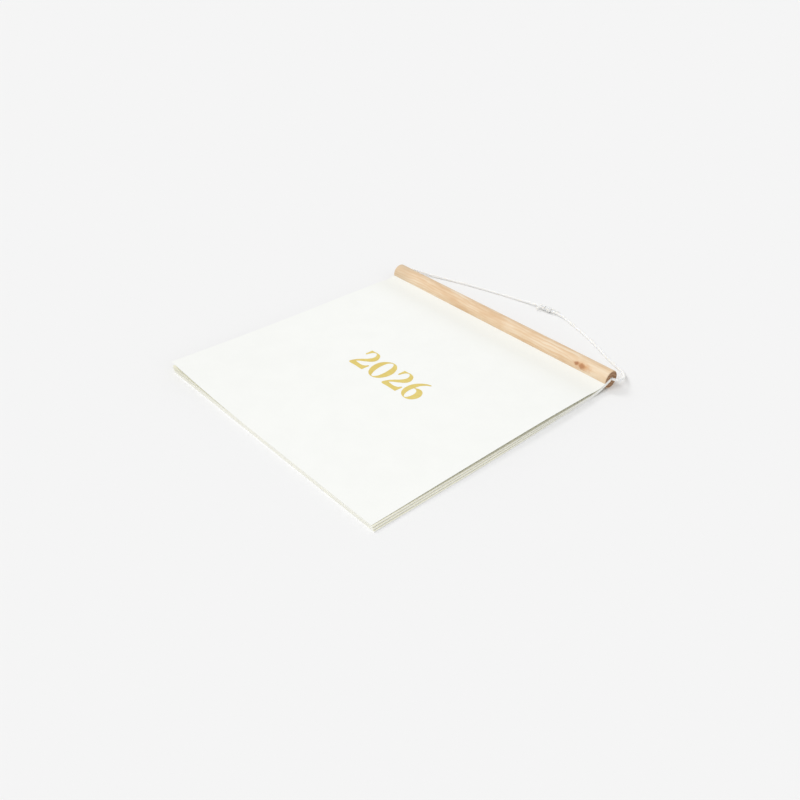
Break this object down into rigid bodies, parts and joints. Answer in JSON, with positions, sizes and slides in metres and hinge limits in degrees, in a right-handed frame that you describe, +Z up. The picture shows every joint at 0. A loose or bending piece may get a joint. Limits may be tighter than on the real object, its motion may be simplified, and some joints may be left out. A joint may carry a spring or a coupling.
{
  "type": "wall calendar",
  "caption": "Square wall calendar lying flat: paper leaves gripped in the slot of a round wooden bar, with a looped hanging cord tied in a knot.",
  "frame": {"origin": "on the surface the calendar lies on, under the middle of the pad and bar together, the cord not counted", "axes": "+Z up, out of the cover; +X along the bar, the way the year reads; +Y from the pad's free edge to the bar, which is up when the calendar hangs"},
  "size_m": [0.3115, 0.3697, 0.018],
  "materials": {
    "wood": "planed light pine, unvarnished",
    "paper": "uncoated, matt",
    "foil": "gold foil print, satin",
    "cord": "twisted cotton, matt"
  },
  "bodies": {
    "root": {"hanger_bar": "wood", "cover_leaf": "paper", "page_block": "paper", "hanging_cord": "cord", "cord_knot": "cord"}
  },
  "joints": []
}
